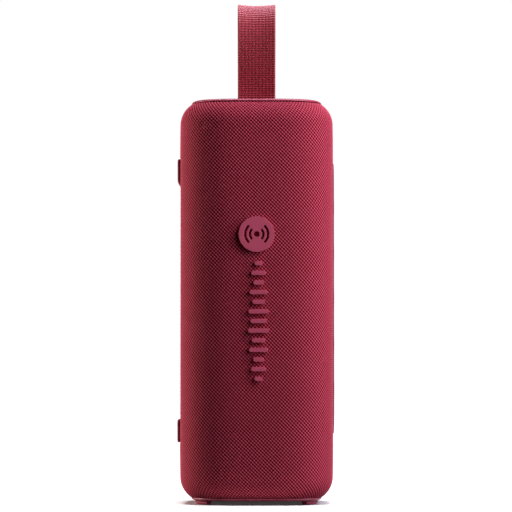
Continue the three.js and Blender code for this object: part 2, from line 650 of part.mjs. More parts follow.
function batteryCradle() {
  const { y, radius, lowerZ, upperZ } = CELL;
  const { halfX, depth, overlap } = CRADLE;
  const back = prism("x", roundedRect(y, y + depth, lowerZ - overlap, upperZ + overlap, 1), [-halfX, halfX]);
  const rooms = [lowerZ, upperZ].map((z) => bar("x", radius + GAP, [-30, 30], [y, z], 20));
  return cut(back, rooms);
}

// ---------- Internal leads and fasteners ----------
function lead(points) {
  const path = new THREE.CatmullRomCurve3(points.map(([x, y, z]) => unit(x, y, z)));
  const section = new THREE.Shape().absarc(0, 0, LEAD_RADIUS, 0, 2 * Math.PI);
  const steps = 2 * points.length;
  return toSolid(new THREE.ExtrudeGeometry(section, { extrudePath: path, steps, curveSegments: 3 }));
}

// A pan-head screw along +Z: the head's underside is at z = 0.
function screw(headHeight, length) {
  const { headRadius, shankRadius } = SCREW;
  const crown = [[0, headHeight], [headRadius * 0.6, headHeight], [headRadius, headHeight * 0.4]];
  const shank = [[shankRadius, 0], [shankRadius, 1.2 - length], [0, -length]];
  return revolved([...crown, [headRadius, 0], ...shank], 8);
}

// ---------- Materials ----------
function plain(color, roughness, metalness = 0) {
  return new THREE.MeshStandardMaterial({ color, roughness, metalness });
}

const knit = () => plain(0x8f2c3c, 0.9);
const capPlastic = () => plain(0x74202f, 0.42);
const softTouch = () => plain(0x7c2434, 0.6);
const footRubber = () => plain(0x6e2230, 0.8);
const badgePlastic = () => plain(0x963e52, 0.45);
const webbing = () => plain(0x9c3345, 0.85);
const blackPlastic = () => plain(0x202022, 0.6);
const darkRubber = () => plain(0x17171a, 0.75);
const steel = () => plain(0x9a9ca0, 0.35, 1);
const ferrite = () => plain(0x3a3b3e, 0.5, 0.6);
const circuitBoard = () => plain(0x1d4a33, 0.5);
const pulp = () => plain(0x2a2a2c, 0.8);
const wrap = () => plain(0x2f5c8a, 0.4);
const wire = () => plain(0x8a1414, 0.5);
const clearLens = () => plain(0xe8e8ee, 0.2);

// ---------- Assembly ----------
const speaker = new THREE.Group();

function piece(parent, name, solid, material) {
  const mesh = new THREE.Mesh(toGeometry(solid), material);
  mesh.name = name;
  parent.add(mesh);
  return mesh;
}

function addShells() {
  piece(speaker, "fabric_sleeve", fabricSleeve(), knit());
  piece(speaker, "grille_front", grille(-1), blackPlastic());
  piece(speaker, "grille_rear", grille(1), blackPlastic());
  piece(speaker, "front_baffle", frontBaffle(), blackPlastic());
  piece(speaker, "rear_tub", rearTub(), blackPlastic());
  piece(speaker, "baffle_gasket", baffleGasket(), darkRubber());
  piece(speaker, "top_end_cap", topEndCap(), capPlastic());
  piece(speaker, "bottom_end_cap", bottomEndCap(), capPlastic());
}

function addStrap() {
  const group = new THREE.Group();
  group.position.set(0, 0, STRAP.pinZ);
  speaker.add(group);
  piece(group, "carry_strap", carryStrap(), webbing());
  const { pinRadius, pinHalfLength } = STRAP;
  piece(group, "strap_bar", bar("x", pinRadius, [-pinHalfLength, pinHalfLength], [0, 0], 16), steel());
}

function addFeet() {
  piece(speaker, "end_foot_left", endFoot(-1), footRubber());
  piece(speaker, "end_foot_right", endFoot(1), footRubber());
  piece(speaker, "side_foot_plate", sideFootPlate(), capPlastic());
  const { lowerZ, upperZ, length } = SIDE_FOOT;
  for (const [name, z] of [["side_foot_lower", lowerZ], ["side_foot_upper", upperZ]]) {
    const foot = piece(speaker, name, sideFoot(), footRubber());
    foot.position.set(SIDE_PLATE.outerX - GAP, 0, z + length);
  }
}

function addControls() {
  piece(speaker, "control_panel", controlPanel(), softTouch());
  piece(speaker, "button_board", buttonBoard(), circuitBoard());
  piece(speaker, "status_led_lens", ledLens(), clearLens());
  BUTTON_NAMES.forEach((name, i) => {
    const z = buttonZ(i);
    const cap = piece(speaker, `${name}_button`, button(), softTouch());
    cap.position.set(BUTTON.backX, 0, z);
    cap.rotation.y = Math.PI / 2;
    const dome = piece(speaker, `${name}_switch`, domeSwitch(), steel());
    dome.position.set(SWITCH.baseX, 0, z);
  });
}

function addBadge() {
  const disc = piece(speaker, "badge_disc", badgeDisc(), badgePlastic());
  disc.position.set(0, -HALF_DEPTH - GAP, BADGE.z);
  disc.rotation.x = Math.PI / 2;
  piece(speaker, "badge_motif", motif(), badgePlastic());
}

function addDrivers() {
  for (const [name, z] of Object.entries(DRIVER_Z)) {
    const group = new THREE.Group();
    group.position.set(0, DRIVER_SEAT_Y, z);
    group.rotation.x = Math.PI / 2;
    speaker.add(group);
    piece(group, `${name}_driver_frame`, driverFrame(), steel());
    piece(group, `${name}_driver_magnet`, driverMagnet(), ferrite());
    piece(group, `${name}_driver_cone`, driverCone(), pulp());
    piece(group, `${name}_driver_surround`, driverSurround(), darkRubber());
  }
  piece(speaker, "radiator_frame", radiatorFrame(), blackPlastic());
  piece(speaker, "radiator_surround", radiatorSurround(), darkRubber());
  piece(speaker, "radiator_plate", radiatorPlate(), steel());
}

function addElectronics() {
  piece(speaker, "port_bay", portBay(), softTouch());
  piece(speaker, "port_cover", portCover(), softTouch());
  piece(speaker, "usb_c_connector", usbConnector(), steel());
  piece(speaker, "main_board", mainBoard(), circuitBoard());
  piece(speaker, "battery_cradle", batteryCradle(), blackPlastic());
  for (const [name, z] of [["battery_cell_lower", CELL.lowerZ], ["battery_cell_upper", CELL.upperZ]]) {
    const cell = piece(speaker, name, batteryCell(), wrap());
    cell.position.set(0, CELL.y, z);
    cell.rotation.y = Math.PI / 2;
  }
}

// Every lead ends on the main board.
function addLeads() {
  const routes = {
    battery: [[22, 5.4, 94], [24, 8, 84], [24, 9, 60], [22, 8, 42], [21, 4, LEAD_END_Z]],
    button: [[35.4, 0, 39.6], [31.5, 0, 39.4], [27, 0, 37], [24.5, 0, LEAD_END_Z]],
    lower_driver: [[-17, -9, 58], [-21, -4, 52], [-22, 1, 42], [-21, 3, LEAD_END_Z]],
    upper_driver: [[-17, -9, 150], [-24, 2, 140], [-26, 6.5, 117], [-26, 6.5, 99], [-26, 8, 60], [-24, 9, 42],
      [-23, 8, LEAD_END_Z]],
  };
  for (const [name, points] of Object.entries(routes)) {
    piece(speaker, `${name}_lead`, lead(points), wire());
  }
}

function addScrews() {
  const { seatY, tipY } = BAFFLE_SCREW;
  const names = ["lower_left", "lower_right", "upper_left", "upper_right"];
  screwPlaces().forEach(([x, z], i) => {
    const mesh = piece(speaker, `baffle_screw_${names[i]}`, screw(SCREW.headHeight, tipY - seatY), steel());
    mesh.position.set(x, seatY - GAP, z);
    mesh.rotation.x = Math.PI / 2;
  });
  for (const [name, side] of [["left", -1], ["right", 1]]) {
    const { x, headLow, headHigh, tipZ } = CAP_SCREW;
    const mesh = piece(speaker, `cap_screw_${name}`, screw(headHigh - headLow, tipZ - headHigh), steel());
    mesh.position.set(side * x, 0, headHigh);
    mesh.rotation.x = Math.PI;
  }
}

addShells();
addStrap();
addFeet();
addControls();
addBadge();
addDrivers();
addElectronics();
addLeads();
addScrews();

export default speaker;
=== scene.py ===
"""Looks for a portable speaker that stands on one end: its knitted sleeve, caps, strap, feet and controls.

Every length is in metres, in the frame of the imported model: +Z up, front towards -Y, controls towards +X.
"""
import json
import math

import bpy
import numpy as np
from mathutils import Matrix, Vector


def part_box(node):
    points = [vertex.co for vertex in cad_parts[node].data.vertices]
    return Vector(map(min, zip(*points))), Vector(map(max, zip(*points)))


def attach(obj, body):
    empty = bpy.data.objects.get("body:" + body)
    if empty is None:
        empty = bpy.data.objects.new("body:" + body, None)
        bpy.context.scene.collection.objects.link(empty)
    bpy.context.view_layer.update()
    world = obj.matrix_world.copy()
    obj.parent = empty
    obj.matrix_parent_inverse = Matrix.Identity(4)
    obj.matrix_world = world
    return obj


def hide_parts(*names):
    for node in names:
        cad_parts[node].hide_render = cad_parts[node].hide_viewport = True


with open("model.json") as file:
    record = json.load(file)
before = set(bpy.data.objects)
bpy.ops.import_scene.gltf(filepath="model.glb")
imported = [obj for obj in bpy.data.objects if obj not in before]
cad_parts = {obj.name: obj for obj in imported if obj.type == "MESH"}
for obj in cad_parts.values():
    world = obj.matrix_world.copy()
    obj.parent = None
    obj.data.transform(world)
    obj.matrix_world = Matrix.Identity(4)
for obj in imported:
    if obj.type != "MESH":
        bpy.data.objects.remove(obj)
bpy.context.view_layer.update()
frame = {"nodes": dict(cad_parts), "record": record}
MM = 0.001

# ---------- Sizes that several pieces share ----------
SLEEVE_LOW, SLEEVE_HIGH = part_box("fabric_sleeve")
HALF_X = SLEEVE_HIGH.x
HALF_Y = SLEEVE_HIGH.y
SQUARENESS = 3.5  # exponent of the section's superellipse
SECTION_POINTS = 288  # points in each ring of an end cap
BODY_LOW = SLEEVE_LOW.z - 2.2 * MM  # where the rounded ends would close
BODY_HIGH = SLEEVE_HIGH.z + 2.2 * MM
EDGE_RADIUS = 12.5 * MM
TAPER_DEPTH = 0.5 * MM  # the body is this much slimmer at its ends
TAPER_REACH = 29 * MM

KNIT_ACROSS = 1.864 * MM  # one repeat of the mesh round the body
KNIT_UP = 2.02 * MM  # one repeat along it
KNIT_LEAN = -0.09  # how far a column of the mesh leans, per unit of height
KNIT_SAMPLES = 4  # grid points in each repeat, each way
KNIT_DEPTH = 0.48 * MM
KNIT_YARNS = (0.58, 0.42)  # how strongly the yarns of each slant stand out
HEM_DEPTH = 1.5 * MM  # how far the cloth turns in at an opening

RIB_PITCH = 1.25 * MM  # the webbing's cross ribs
RIB_SAMPLES = 4  # grid points in each rib
RIB_RELIEF = 0.12 * MM
YARN_PITCH = 1.83 * MM  # its lengthwise yarns
YARN_RELIEF = 0.03 * MM
WEBBING_THICKNESS = 1.5 * MM
WEBBING_CURL = 1.0 * MM  # how far its edges lift at a sharp bend
CURL_RADIUS = 14 * MM  # a bend of this radius or less is sharp

CAP_RIM_ACROSS = 2.6 * MM  # how far the rounded rim of a cap reaches in from its edge
CAP_RIM_DOWN = 1.2 * MM
CAP_SHRINK = 0.6 * MM  # how far the rim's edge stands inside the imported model's cap
CAP_RAISE = 0.3 * MM  # how far the top cap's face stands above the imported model's
CAP_SKIRT = 1.4 * MM  # how far a cap's hidden skirt is in from its rim
WELL_X, WELL_Y = 12.5 * MM, 17.0 * MM  # half sizes of the strap's well, under its lip
WELL_FLOOR_Y = 6.0 * MM  # half the length of the well's floor

KEY_RADIUS = 6.6  # in mm, as the key's profile is
KEY_HOLE = 6.9 * MM
LENS_HOLE = 1.45 * MM
MARK_HEIGHT = 0.35 * MM  # of a key's raised mark
MARK_LINE = 0.55 * MM


# ---------- Measuring and mesh helpers ----------
def middle_height(node):
    low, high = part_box(node)
    return (low.z + high.z) / 2


def add(name, data):
    """A new object at the scene's origin."""
    made = bpy.data.objects.new(name, data)
    bpy.context.scene.collection.objects.link(made)
    return made


def mesh_object(name, points, quads, triangles=(), uv=None):
    """A mesh from arrays of points and faces. uv has one row for each corner of the quads."""
    points = np.asarray(points, float).reshape(-1, 3)
    quads = np.asarray(quads, int).reshape(-1, 4)
    triangles = np.asarray(triangles, int).reshape(-1, 3)
    mesh = bpy.data.meshes.new(name)
    mesh.vertices.add(len(points))
    mesh.vertices.foreach_set("co", points.ravel())
    corners = np.concatenate([quads.ravel(), triangles.ravel()])
    sizes = np.concatenate([np.full(len(quads), 4), np.full(len(triangles), 3)])
    mesh.loops.add(len(corners))
    mesh.loops.foreach_set("vertex_index", corners)
    mesh.polygons.add(len(sizes))
    mesh.polygons.foreach_set("loop_start", np.concatenate([[0], np.cumsum(sizes)[:-1]]))
    mesh.polygons.foreach_set("loop_total", sizes)
    mesh.update(calc_edges=True)
    mesh.validate()
    mesh.polygons.foreach_set("use_smooth", np.full(len(sizes), True))
    if uv is not None:
        layer = mesh.uv_layers.new(name="Weave")
        layer.data.foreach_set("uv", np.asarray(uv, float).ravel())
    return add(name, mesh)


def grid_quads(rows, columns, wrap_rows=False):
    """Corner indices of the quads of a grid of points, row by row. The columns close on themselves."""
    row = np.arange(rows if wrap_rows else rows - 1)[:, None]
    column = np.arange(columns)[None, :]
    right = (column + 1) % columns
    up = (row + 1) % rows
    corners = [row * columns + column, row * columns + right, up * columns + right, up * columns + column]
    return np.stack([np.broadcast_to(c, (row.size, column.size)) for c in corners], -1).reshape(-1, 4)


def loft(name, rings, cap_first=True, cap_last=True):
    """Joins equal rings of points, with flat ends that are fans about a centre point."""
    rings = np.asarray(rings, float)
    rows, columns = rings.shape[:2]
    points = list(rings.reshape(-1, 3))
    triangles = []
    for closed, row, flip in ((cap_first, 0, True), (cap_last, rows - 1, False)):
        if not closed:
            continue
        centre = len(points)
        points.append(rings[row].mean(0))
        for i in range(columns):
            a, b = row * columns + i, row * columns + (i + 1) % columns
            triangles.append((centre, b, a) if flip else (centre, a, b))
    return mesh_object(name, points, grid_quads(rows, columns), triangles)


def lathe(name, profile, sides):
    """Revolves a profile of (radius, height) about Z; it starts and ends on the axis."""
    inner = profile[1:-1]
    angles = np.linspace(0, 2 * math.pi, sides, endpoint=False)
    rings = [[(r * math.cos(a), r * math.sin(a), h) for a in angles] for r, h in inner]
    made = loft(name, rings)
    middle = len(inner) * sides
    made.data.vertices[middle].co.z = profile[0][1]
    made.data.vertices[middle + 1].co.z = profile[-1][1]
    return made


def place(obj, matrix):
    """Moves a piece's vertices, so that its object stays at the origin."""
    obj.data.transform(matrix)
    return obj


def facing(direction, point):
    """The matrix that turns a piece's +Z to a direction and its +Y near world Z, and moves it to a point."""
    z = Vector(direction).normalized()
    y = Vector((0, 0, 1))
    x = y.cross(z).normalized()
    turned = Matrix((x, z.cross(x), z)).transposed().to_4x4()
    return Matrix.Translation(Vector(point)) @ turned


def join(name, parts):
    """Several mesh objects as one."""
    points, faces, count = [], [], 0
    for part in parts:
        points += [tuple(v.co) for v in part.data.vertices]
        faces += [[count + i for i in polygon.vertices] for polygon in part.data.polygons]
        count += len(part.data.vertices)
        bpy.data.objects.remove(part)
    mesh = bpy.data.meshes.new(name)
    mesh.from_pydata(points, [], faces)
    mesh.polygons.foreach_set("use_smooth", np.full(len(faces), True))
    return add(name, mesh)


def plate(name, outlines, thickness, bevel):
    """A flat plate with rounded edges, from a 2-D outline and the outlines of its holes.

    Its face looks along +Z, at z = 0.
    """
    curve = bpy.data.curves.new(name, "CURVE")
    curve.dimensions = "2D"
    curve.fill_mode = "BOTH"
    curve.extrude = thickness / 2 - bevel
    curve.bevel_depth = bevel
    curve.bevel_resolution = 3
    curve.offset = -bevel
    for outline in outlines:
        spline = curve.splines.new("POLY")
        spline.points.add(len(outline) - 1)
        spline.points.foreach_set("co", np.array([(x, y, 0, 1) for x, y in outline], float).ravel())
        spline.use_cyclic_u = True
    holder = add(name + ".curve", curve)
    bpy.context.view_layer.update()
    mesh = bpy.data.meshes.new_from_object(holder.evaluated_get(bpy.context.evaluated_depsgraph_get()))
    mesh.name = name
    bpy.data.objects.remove(holder)
    bpy.data.curves.remove(curve)
    mesh.transform(Matrix.Translation((0, 0, -thickness / 2)))
    made = add(name, mesh)
    smooth_by_angle(made)
    return made


def smooth_by_angle(obj, degrees=35):
    """Smooth shading that keeps the creases."""
    mesh = obj.data
    mesh.polygons.foreach_set("use_smooth", np.full(len(mesh.polygons), True))
    mesh.set_sharp_from_angle(angle=math.radians(degrees))


def rounded_outline(half_u, half_v, radius, steps=8):
    """A rounded rectangle about the origin, anticlockwise."""
    points = []
    for quarter, (su, sv) in enumerate(((1, 1), (-1, 1), (-1, -1), (1, -1))):
        for i in range(steps + 1):
            angle = math.pi / 2 * (quarter + i / steps)
            u = su * (half_u - radius) + radius * math.cos(angle)
            v = sv * (half_v - radius) + radius * math.sin(angle)
            points.append((u, v))
    return points


def circle_outline(radius, v=0, steps=48):
    """A circle about (0, v)."""
    angles = np.linspace(0, 2 * math.pi, steps, endpoint=False)
    return [(radius * math.cos(a), v + radius * math.sin(a)) for a in angles]


# ---------- The body's section ----------
def section_table(fine=4000):
    """The section for half sizes of 1, as x and y at equal steps of arc length, starting on +X."""
    angles = np.linspace(0, 2 * math.pi, fine + 1)
    power = 2 / SQUARENESS
    x = np.sign(np.cos(angles)) * np.abs(np.cos(angles)) ** power
    y = np.sign(np.sin(angles)) * np.abs(np.sin(angles)) ** power
    lengths = np.hypot(np.diff(x * HALF_X), np.diff(y * HALF_Y))
    along = np.concatenate([[0], np.cumsum(lengths)])
    return along / along[-1], x, y, along[-1]


SHARE, UNIT_X, UNIT_Y, PERIMETER = section_table()


def section(share, inset):
    """Points of the section, some way in from the outer face, at shares of the way round."""
    share = np.mod(share, 1)
    x = np.interp(share, SHARE, UNIT_X) * (HALF_X - inset)
    y = np.interp(share, SHARE, UNIT_Y) * (HALF_Y - inset)
    return x, y


def end_inset(z):
    """How far the outer face has come in at a height."""
    to_end = np.minimum(z - BODY_LOW, BODY_HIGH - z)
    rise = np.clip(EDGE_RADIUS - to_end, 0, EDGE_RADIUS)
    slow = np.clip(1 - to_end / TAPER_REACH, 0, 1)
    return EDGE_RADIUS - np.sqrt(EDGE_RADIUS**2 - rise**2) + TAPER_DEPTH * slow**2


def section_ring(inset, z):
    x, y = section(np.arange(SECTION_POINTS) / SECTION_POINTS, inset)
    return np.stack([x, y, np.full(SECTION_POINTS, z)], -1)


# ---------- Knitted sleeve ----------
# Where the cloth goes past the sleeve's ends: how much further in, and how far past the end, in mm.
TUCK = [(0.7, 0.12), (1.3, -0.3), (1.5, -1.2)]

# The node behind each opening in the sleeve, the axis and sign that it faces, and its corner radius in mm.
OPENINGS = (("side_foot_plate", 0, -1, 2.3), ("control_panel", 0, 1, 9.3), ("port_bay", 1, 1, 3.0))


def sleeve_profile(fine=4000):
    """Insets, heights and lengths of cloth at equal steps of cloth, from the lower tuck to the upper one."""
    z = np.linspace(SLEEVE_LOW.z, SLEEVE_HIGH.z, fine)
    inset = end_inset(z)
    low = [(inset[0] + further * MM, SLEEVE_LOW.z - past * MM) for further, past in reversed(TUCK)]
    high = [(inset[-1] + further * MM, SLEEVE_HIGH.z + past * MM) for further, past in TUCK]
    path = np.array([*low, *zip(inset, z), *high])
    along = np.concatenate([[0], np.cumsum(np.hypot(*np.diff(path, axis=0).T))])
    rows = round(along[-1] / (KNIT_UP / KNIT_SAMPLES))
    at = np.linspace(0, along[-1], rows)
    return np.interp(at, along, path[:, 0]), np.interp(at, along, path[:, 1]), at


def box_distance(u, v, half_u, half_v, radius):
    """Signed distance to a rounded rectangle about the origin, below zero inside it."""
    du = np.abs(u) - half_u + radius
    dv = np.abs(v) - half_v + radius
    outside = np.hypot(np.maximum(du, 0), np.maximum(dv, 0))
    return outside + np.minimum(np.maximum(du, dv), 0) - radius


def openings():
    """Each opening in the sleeve: the axis and sign it faces, its centre, half sizes and corner radius."""
    found = []
    for node, axis, sign, radius in OPENINGS:
        low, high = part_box(node)
        across = 1 - axis
        centre = ((low[across] + high[across]) / 2, (low.z + high.z) / 2)
        halves = ((high[across] - low[across]) / 2, (high.z - low.z) / 2)
        found.append((axis, sign, centre, halves, radius * MM))
    return found


def opening_distance(points):
    """Each point's distance to the nearest opening, and the step that takes it to that opening's edge."""
    distance = np.full(len(points), 1.0)
    step = np.zeros((len(points), 3))
    nudge = 1e-5
    for axis, sign, centre, halves, radius in openings():
        across = 1 - axis
        same_side = points[:, axis] * sign > 25 * MM
        u, v = points[:, across] - centre[0], points[:, 2] - centre[1]
        here = box_distance(u, v, *halves, radius)
        du = (box_distance(u + nudge, v, *halves, radius) - here) / nudge
        dv = (box_distance(u, v + nudge, *halves, radius) - here) / nudge
        closer = same_side & (here < distance)
        distance[closer] = here[closer]
        step[closer] = 0
        step[closer, across] = -(here * du)[closer]
        step[closer, 2] = -(here * dv)[closer]
    return distance, step


def knit_height(across, up):
    """The mesh's relief from -1 in an opening to 1 on a crossing; the arguments count repeats."""
    ridge = np.cos(2 * math.pi * (across + up))
    other = np.cos(2 * math.pi * (across - up))
    return KNIT_YARNS[0] * ridge + KNIT_YARNS[1] * other


def knit_surface():
    """The sleeve's outer face with its relief, as a grid, and how far along the cloth each row is."""
    insets, heights, along = sleeve_profile()
    columns = round(PERIMETER / KNIT_ACROSS) * KNIT_SAMPLES
    rows = len(heights)
    lean = KNIT_LEAN * along / PERIMETER
    share = np.arange(columns)[None, :] / columns + lean[:, None]
    x, y = section(share, insets[:, None])
    points = np.stack([x, y, np.broadcast_to(heights[:, None], x.shape)], -1)
    round_it = np.roll(points, -1, 1) - np.roll(points, 1, 1)
    upward = np.gradient(points, axis=0)
    normal = np.cross(round_it, upward)
    normal /= np.linalg.norm(normal, axis=2, keepdims=True)
    column = np.arange(columns)[None, :] / KNIT_SAMPLES
    row = np.arange(rows)[:, None] / KNIT_SAMPLES
    relief = knit_height(column, row) * KNIT_DEPTH / 2 - KNIT_DEPTH / 2
    return points + normal * relief[..., None], along


def cut_openings(points, quads):
    """Leaves out the quads in the openings and moves the points of their rims to the openings' edges."""
    distance, step = opening_distance(points)
    kept = distance[quads].mean(1) > 0
    counts_kept = np.bincount(quads[kept].ravel(), minlength=len(points))
    counts_all = np.bincount(quads.ravel(), minlength=len(points))
    rim = (counts_kept > 0) & (counts_kept < counts_all)
    points[rim] += step[rim]
    return quads[kept], rim


def knit_repeats(quads, columns):
    """The mesh's repeats across and up, at each corner of the quads."""
    row, column = np.divmod(quads, columns)
    in_last_column = quads[:, :1] % columns == columns - 1
    column = np.where((column == 0) & in_last_column, columns, column)
    return np.stack([column / KNIT_SAMPLES, row / KNIT_SAMPLES], -1)


def knit_sleeve():
    """The sleeve of knitted mesh, cut round the foot rail, the control strip and the port."""
    grid, along = knit_surface()
    rows, columns = grid.shape[:2]
    points = grid.reshape(-1, 3)
    quads, rim = cut_openings(points, grid_quads(rows, columns))
    points, quads, uv = add_hems(points, quads, knit_repeats(quads, columns), rim)
    made = mesh_object("knit_sleeve", points, quads, uv=uv.reshape(-1, 2))
    return made


def add_hems(points, quads, uv, rim):
    """Turns the cloth in at the edge of each opening."""
    edges = np.concatenate([quads[:, [i, (i + 1) % 4]] for i in range(4)])
    edge_uv = np.concatenate([uv[:, [i, (i + 1) % 4]] for i in range(4)])
    keys = np.sort(edges, 1) @ np.array([len(points), 1])  # the same for an edge taken either way
    _, first, uses = np.unique(keys, return_index=True, return_counts=True)
    single = first[uses == 1]
    single = single[rim[edges[single]].all(1)]
    border = edges[single]
    inside = np.unique(border)
    inward = points[inside] * np.array([1, 1, 0])
    inward /= np.linalg.norm(inward, axis=1, keepdims=True)
    turned_in = points[inside] - inward * HEM_DEPTH
    number = dict(zip(inside, range(len(points), len(points) + len(inside))))
    fresh = np.array([[b, a, number[a], number[b]] for a, b in border])
    fresh_uv = edge_uv[single][:, [1, 0, 0, 1]]
    points = np.concatenate([points, turned_in])
    return points, np.concatenate([quads, fresh]), np.concatenate([uv, fresh_uv])


# ---------- End caps ----------
def cap_rim(edge, face, down):
    """Rings of a cap's rounded rim from its edge in to its flat face; down points away from the face."""
    rings = []
    for angle in np.linspace(math.pi / 2, 0, 9):
        inset = edge + CAP_RIM_ACROSS * (1 - math.sin(angle))
        rings.append(section_ring(inset, face + down * CAP_RIM_DOWN * (1 - math.cos(angle))))
    return rings


def well_ring(half_x, half_y, radius, z):
    """A rounded rectangle with its points at the same bearings as the section's."""
    corners = np.array(rounded_outline(half_x, half_y, radius, 24))
    bearings = np.arctan2(corners[:, 1], corners[:, 0])
    order = np.argsort(bearings)
    corners, bearings = corners[order], bearings[order]
    x, y = section(np.arange(SECTION_POINTS) / SECTION_POINTS, 0)
    wanted = np.arctan2(y / HALF_Y * half_y, x / HALF_X * half_x)
    reach = np.hypot(*corners.T)
    reach = np.interp(wanted, bearings, reach, period=2 * math.pi)
    return np.stack([reach * np.cos(wanted), reach * np.sin(wanted), np.full(SECTION_POINTS, z)], -1)


# The rounded lip of the strap's well: how much wider it is, and how far down, in mm.
WELL_LIP = [(1.6, 0), (0.9, 0.05), (0.35, 0.3), (0, 0.9)]


def strap_well(face):
    """Rings of the well that the strap's bar crosses, from its rounded mouth down to its floor."""
    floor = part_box("strap_bar")[0].z - 2.6 * MM
    lip = face - WELL_LIP[-1][1] * MM
    rings = []
    for wider, down in WELL_LIP:
        rings.append(well_ring(WELL_X + wider * MM, WELL_Y + wider * MM, 4 * MM, face - down * MM))
    for t in np.linspace(0.15, 1, 10):
        half_y = WELL_Y + (WELL_FLOOR_Y - WELL_Y) * (1 - math.cos(t * math.pi / 2))
        z = lip + (floor - lip) * math.sin(t * math.pi / 2)
        rings.append(well_ring(WELL_X - 0.6 * MM * t, half_y, 3.6 * MM, z))
    return rings


def top_cap():
    """A skirt inside the sleeve, a rounded rim that overhangs it, and a flat face with the strap's well."""
    low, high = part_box("top_end_cap")
    edge = HALF_X - high.x + CAP_SHRINK
    face = high.z + CAP_RAISE
    rings = [section_ring(edge + CAP_SKIRT, low.z), section_ring(edge + CAP_SKIRT, face - 1.5 * MM)]
    rings.append(section_ring(edge + 0.4 * MM, face - 1.4 * MM))
    rings += cap_rim(edge, face, -1)
    rings.append(section_ring(edge + CAP_RIM_ACROSS + 1 * MM, face))
    rings += strap_well(face)
    return loft("satin_top_cap", rings, cap_first=False)


def bottom_cap():
    """A skirt inside the sleeve, a rounded rim, and a face that is slightly hollow in its middle."""
    low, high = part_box("bottom_end_cap")
    edge = HALF_X - high.x + CAP_SHRINK
    rings = [section_ring(edge + CAP_SKIRT, high.z), section_ring(edge + CAP_SKIRT, low.z + 1.7 * MM)]
    rings.append(section_ring(edge, low.z + 1.65 * MM))
    rings += cap_rim(edge, low.z, 1)
    rings.append(section_ring(edge + 8 * MM, low.z))
    rings.append(section_ring(edge + 9 * MM, low.z + 0.3 * MM))
    return loft("satin_bottom_cap", rings[::-1], cap_last=False)


# ---------- Feet and foot rail ----------
# The rounded lower rim of an end foot: how far in, and how high, in mm.
END_FOOT_RIM = [(1.4, 0.0), (0.8, 0.12), (0.3, 0.45), (0.0, 1.0)]
END_FOOT_CURVE = 60  # points along its curved side
END_FOOT_CHORD = 18  # points along its straight side

# A side foot's soft edge: its height as a share of its rise, then how far a square end and a sloped end
# have come in there, in mm.
SIDE_FOOT_EDGE = (
    (-0.35, 0, -1.5),
    (0, 0, -1.5),
    (0.3, 0.05, -1.4),
    (0.6, 0.1, -1.0),
    (0.85, 0.25, -0.4),
    (0.96, 0.5, 0.2),
    (1.0, 0.9, 0.8),
    (1.0, 2.0, 2.0),
)


def end_foot_ring(low_x, inset, z):
    """The part of the section beyond a straight edge across it, closed along that edge."""
    share = np.linspace(-0.125, 0.125, 1200)  # the quarter of the section that faces +X
    x, y = section(share, inset)
    outboard = x > low_x
    x, y = x[outboard], y[outboard]
    pick = np.linspace(0, len(x) - 1, END_FOOT_CURVE).round().astype(int)
    chord = np.linspace(y[pick[-1]], y[pick[0]], END_FOOT_CHORD + 2)[1:-1]
    ring_x = np.concatenate([x[pick], np.full(END_FOOT_CHORD, low_x)])
    ring_y = np.concatenate([y[pick], chord])
    return np.stack([ring_x, ring_y, np.full(len(ring_x), z)], -1)


def end_foot(side):
    """A crescent pad under the right end, side 1, or the left end, side -1."""
    low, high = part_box("end_foot_right")
    inset = HALF_X - high.x
    steps = [*END_FOOT_RIM, (0.0, high.z / MM)]
    rings = np.array([end_foot_ring(low.x, inset + shrink * MM, z * MM) for shrink, z in steps])
    if side < 0:
        rings = rings * np.array([-1, 1, 1])
        rings = rings[:, ::-1]
    made = loft(f"rubber_end_foot_{'right' if side > 0 else 'left'}", rings)
    smooth_by_angle(made, 50)
    return made


def foot_rail():
    """The rounded strip down the left side that the side feet stand on."""
    low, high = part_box("side_foot_plate")
    halves = ((high.y - low.y) / 2, (high.z - low.z) / 2)
    made = plate("foot_rail", [rounded_outline(*halves, 2 * MM)], high.x - low.x, 0.4 * MM)
    return place(made, facing((-1, 0, 0), (low.x, (low.y + high.y) / 2, (low.z + high.z) / 2)))


def side_foot(name, node, slope):
    """A pad with a soft edge, whose upper end slopes back at slope 1, its lower at -1, and neither at 0."""
    low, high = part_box(node)
    half_y, half_z = (high.y - low.y) / 2, (high.z - low.z) / 2
    rise = high.x - low.x
    rings = []
    for height, square, run in SIDE_FOOT_EDGE:
        upright = half_z - square * MM
        sloped = half_z - (run if slope else square) * MM
        outline = rounded_outline(half_y - square * MM, (upright + sloped) / 2, 1.8 * MM, 6)
        rings.append([(u, v + slope * (sloped - upright) / 2, height * rise) for u, v in outline])
    made = loft(name, rings, cap_first=False)
    smooth_by_angle(made, 50)
    return place(made, facing((-1, 0, 0), (high.x, 0, (low.z + high.z) / 2)))


# ---------- Controls ----------
BUTTONS = ["power", "pair", "volume_down", "play", "volume_up"]

# A key's crown from its side in: change of radius and height against its highest point, in mm.
KEY_CROWN = [(0, -0.7), (-0.08, -0.35), (-0.3, -0.12), (-0.65, 0), (-1.1, -0.02), (-2.2, -0.14), (-4, -0.24)]


def control_panel():
    """The strip that the keys and the status light come through."""
    low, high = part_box("control_panel")
    middle = (low.z + high.z) / 2
    holes = [circle_outline(KEY_HOLE, middle_height(name + "_button") - middle) for name in BUTTONS]
    holes.append(circle_outline(LENS_HOLE, middle_height("status_led_lens") - middle, 20))
    halves = (high.y - low.y) / 2, (high.z - low.z) / 2
    outline = rounded_outline(*halves, 9 * MM, 12)
    made = plate("control_strip", [outline, *holes], 2.0 * MM, 0.4 * MM)
    return place(made, facing((1, 0, 0), (high.x, 0, middle)))


def round_end(centre, start):
    """Points half way round a centre, clockwise from a start that is given from the centre."""
    return [centre + Matrix.Rotation(-math.pi * k / 6, 2) @ start for k in range(1, 6)]


